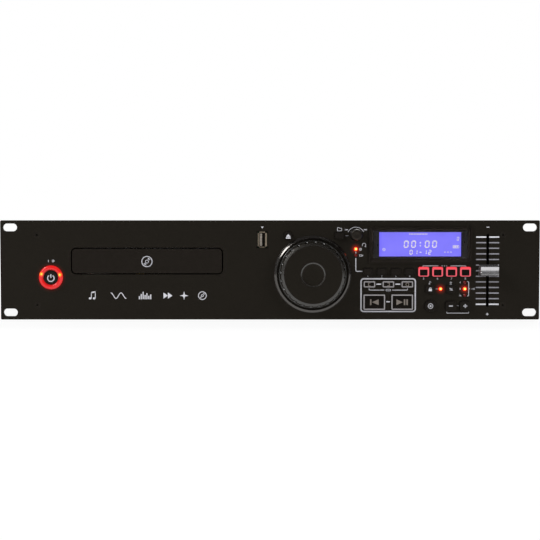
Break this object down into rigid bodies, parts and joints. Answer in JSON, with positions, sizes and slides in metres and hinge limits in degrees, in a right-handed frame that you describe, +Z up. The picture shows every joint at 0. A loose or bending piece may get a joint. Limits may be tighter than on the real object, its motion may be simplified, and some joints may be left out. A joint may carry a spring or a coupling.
{
  "type": "dj cd player",
  "caption": "Rack-mount DJ disc player with a sliding disc tray, notched jog wheel, lit display, push keys, selector knob and pitch fader on its front panel.",
  "frame": {"origin": "middle of the rack panel's rear face, the plane that meets the rack rails", "axes": "+X to the right seen from the front, +Y to the rear, +Z up; the front faces -Y"},
  "size_m": [0.4826, 0.2665, 0.089],
  "materials": {
    "panel_paint": "satin",
    "cover_paint": "matte",
    "black_screw": "satin",
    "foot_rubber": "matte",
    "black_plastic": "matte",
    "gloss_black": "gloss",
    "key_black": "satin",
    "key_rimmed": "satin",
    "effect_red": "gloss",
    "lamp_red": "gloss",
    "window_clear": "gloss",
    "lcd_blue": "gloss",
    "board_green": "satin",
    "bright_steel": "satin",
    "rod_steel": "polished",
    "jack_brass": "polished",
    "cap_silver": "metallic",
    "gear_white": "satin",
    "belt_rubber": "matte",
    "jog_plastic": "satin"
  },
  "bodies": {
    "chassis": {"front_panel": "panel_paint", "chassis_base": "cover_paint", "top_cover": "cover_paint", "case_screws": "black_screw", "rubber_feet": "foot_rubber", "mains_inlet": "black_plastic", "audio_jacks": "jack_brass", "power_supply": "board_green", "main_board": "board_green", "control_board": "board_green", "display_frame": "black_plastic", "display_window": "window_clear", "lcd_module": "lcd_blue", "usb_socket": "bright_steel", "power_light_ring": "lamp_red", "jog_bezel": "gloss_black", "jog_bushing": "jack_brass", "indicator_leds": "lamp_red", "fader_housing": "black_plastic", "track_encoder": "bright_steel", "loader_frame": "black_plastic", "clamper_bridge": "bright_steel", "loading_motor": "bright_steel", "drive_belt": "belt_rubber"},
    "tray": {"disc_tray": "black_plastic", "tray_door": "black_plastic"},
    "drive_gear": {"drive_gear": "gear_white"},
    "motor_pulley": {"motor_pulley": "jack_brass"},
    "traverse": {"traverse_plate": "black_plastic", "sled_rods": "rod_steel", "spindle_motor": "bright_steel"},
    "spindle": {"spindle_hub": "gear_white"},
    "pickup": {"optical_pickup": "black_plastic"},
    "clamper": {"disc_clamper": "gear_white"},
    "jog": {"jog_wheel": "jog_plastic", "jog_shaft": "bright_steel"},
    "track_rotor": {"track_rotor": "gear_white"},
    "track_knob": {"track_knob": "black_plastic"},
    "fader": {"fader_cap": "cap_silver"},
    "power_key": {"power_key": "key_black"},
    "eject_key": {"eject_key": "key_black"},
    "folder_key": {"folder_key": "key_black"},
    "source_key": {"source_key": "key_black"},
    "time_key": {"time_key": "key_black"},
    "single_key": {"single_key": "key_black"},
    "program_key": {"program_key": "key_black"},
    "search_key": {"search_key": "effect_red"},
    "scratch_key": {"scratch_key": "effect_red"},
    "reverse_key": {"reverse_key": "effect_red"},
    "brake_key": {"brake_key": "effect_red"},
    "loop_in_key": {"loop_in_key": "key_rimmed"},
    "loop_out_key": {"loop_out_key": "key_rimmed"},
    "reloop_key": {"reloop_key": "key_rimmed"},
    "cue_key": {"cue_key": "key_rimmed"},
    "play_key": {"play_key": "key_rimmed"},
    "lock_key": {"lock_key": "key_black"},
    "range_key": {"range_key": "key_black"},
    "tap_key": {"tap_key": "key_black"},
    "bend_down_key": {"bend_down_key": "key_black"},
    "bend_up_key": {"bend_up_key": "key_black"}
  },
  "joints": [
    {"name": "tray_slide", "type": "slide", "parent": "chassis", "child": "tray", "axis": [0, -1, 0], "range_m": [0, 0.135]},
    {"name": "drive_gear_spin", "type": "hinge", "parent": "chassis", "child": "drive_gear", "pos_m": [-0.1577, 0.018, -0.002], "axis": [0, 0, 1], "range_deg": [-5, 865]},
    {"name": "motor_pulley_spin", "type": "hinge", "parent": "chassis", "child": "motor_pulley", "pos_m": [-0.1177, 0.018, -0.006], "axis": [0, 0, 1], "range_deg": [-10, 2435]},
    {"name": "traverse_tilt", "type": "hinge", "parent": "chassis", "child": "traverse", "pos_m": [-0.1101, 0.1579, -0.004], "axis": [1, 0, 0], "range_deg": [-0.2, 5.8]},
    {"name": "spindle_spin", "type": "hinge", "parent": "traverse", "child": "spindle", "pos_m": [-0.1101, 0.0669, 0], "axis": [0, 0, 1], "continuous": true},
    {"name": "clamper_spin", "type": "hinge", "parent": "chassis", "child": "clamper", "pos_m": [-0.1101, 0.0669, 0.016], "axis": [0, 0, 1], "continuous": true},
    {"name": "pickup_slide", "type": "slide", "parent": "traverse", "child": "pickup", "axis": [0, 1, 0], "range_m": [0, 0.034]},
    {"name": "jog_spin", "type": "hinge", "parent": "chassis", "child": "jog", "pos_m": [0.0382, 0, -0.0038], "axis": [0, -1, 0], "continuous": true},
    {"name": "track_turn", "type": "hinge", "parent": "chassis", "child": "track_rotor", "pos_m": [0.0768, 0, 0.0317], "axis": [0, -1, 0], "continuous": true},
    {"name": "track_push", "type": "slide", "parent": "track_rotor", "child": "track_knob", "axis": [0, 1, 0], "range_m": [0, 0.0005], "stiffness_N_per_m": 1500},
    {"name": "pitch_slide", "type": "slide", "parent": "chassis", "child": "fader", "axis": [0, 0, 1], "range_m": [-0.03, 0.03]},
    {"name": "power_press", "type": "slide", "parent": "chassis", "child": "power_key", "axis": [0, 1, 0], "range_m": [0, 0.0008], "stiffness_N_per_m": 800},
    {"name": "eject_press", "type": "slide", "parent": "chassis", "child": "eject_key", "axis": [0, 1, 0], "range_m": [0, 0.0008], "stiffness_N_per_m": 800},
    {"name": "folder_press", "type": "slide", "parent": "chassis", "child": "folder_key", "axis": [0, 1, 0], "range_m": [0, 0.0008], "stiffness_N_per_m": 800},
    {"name": "source_press", "type": "slide", "parent": "chassis", "child": "source_key", "axis": [0, 1, 0], "range_m": [0, 0.0008], "stiffness_N_per_m": 800},
    {"name": "time_press", "type": "slide", "parent": "chassis", "child": "time_key", "axis": [0, 1, 0], "range_m": [0, 0.0008], "stiffness_N_per_m": 800},
    {"name": "single_press", "type": "slide", "parent": "chassis", "child": "single_key", "axis": [0, 1, 0], "range_m": [0, 0.0008], "stiffness_N_per_m": 800},
    {"name": "program_press", "type": "slide", "parent": "chassis", "child": "program_key", "axis": [0, 1, 0], "range_m": [0, 0.0008], "stiffness_N_per_m": 800},
    {"name": "search_press", "type": "slide", "parent": "chassis", "child": "search_key", "axis": [0, 1, 0], "range_m": [0, 0.0008], "stiffness_N_per_m": 800},
    {"name": "scratch_press", "type": "slide", "parent": "chassis", "child": "scratch_key", "axis": [0, 1, 0], "range_m": [0, 0.0008], "stiffness_N_per_m": 800},
    {"name": "reverse_press", "type": "slide", "parent": "chassis", "child": "reverse_key", "axis": [0, 1, 0], "range_m": [0, 0.0008], "stiffness_N_per_m": 800},
    {"name": "brake_press", "type": "slide", "parent": "chassis", "child": "brake_key", "axis": [0, 1, 0], "range_m": [0, 0.0008], "stiffness_N_per_m": 800},
    {"name": "loop_in_press", "type": "slide", "parent": "chassis", "child": "loop_in_key", "axis": [0, 1, 0], "range_m": [0, 0.0008], "stiffness_N_per_m": 800},
    {"name": "loop_out_press", "type": "slide", "parent": "chassis", "child": "loop_out_key", "axis": [0, 1, 0], "range_m": [0, 0.0008], "stiffness_N_per_m": 800},
    {"name": "reloop_press", "type": "slide", "parent": "chassis", "child": "reloop_key", "axis": [0, 1, 0], "range_m": [0, 0.0008], "stiffness_N_per_m": 800},
    {"name": "cue_press", "type": "slide", "parent": "chassis", "child": "cue_key", "axis": [0, 1, 0], "range_m": [0, 0.0008], "stiffness_N_per_m": 800},
    {"name": "play_press", "type": "slide", "parent": "chassis", "child": "play_key", "axis": [0, 1, 0], "range_m": [0, 0.0008], "stiffness_N_per_m": 800},
    {"name": "lock_press", "type": "slide", "parent": "chassis", "child": "lock_key", "axis": [0, 1, 0], "range_m": [0, 0.0008], "stiffness_N_per_m": 800},
    {"name": "range_press", "type": "slide", "parent": "chassis", "child": "range_key", "axis": [0, 1, 0], "range_m": [0, 0.0008], "stiffness_N_per_m": 800},
    {"name": "tap_press", "type": "slide", "parent": "chassis", "child": "tap_key", "axis": [0, 1, 0], "range_m": [0, 0.0008], "stiffness_N_per_m": 800},
    {"name": "bend_down_press", "type": "slide", "parent": "chassis", "child": "bend_down_key", "axis": [0, 1, 0], "range_m": [0, 0.0008], "stiffness_N_per_m": 800},
    {"name": "bend_up_press", "type": "slide", "parent": "chassis", "child": "bend_up_key", "axis": [0, 1, 0], "range_m": [0, 0.0008], "stiffness_N_per_m": 800}
  ],
  "couplings": [
    {"joint": "drive_gear_spin", "follows": "tray_slide", "rad_per_m": 111.11},
    {"joint": "motor_pulley_spin", "follows": "tray_slide", "rad_per_m": 313.13},
    {"joint": "traverse_tilt", "follows": "tray_slide", "rad_per_m": 0.72399},
    {"joint": "clamper_spin", "follows": "spindle_spin", "ratio": 1}
  ]
}
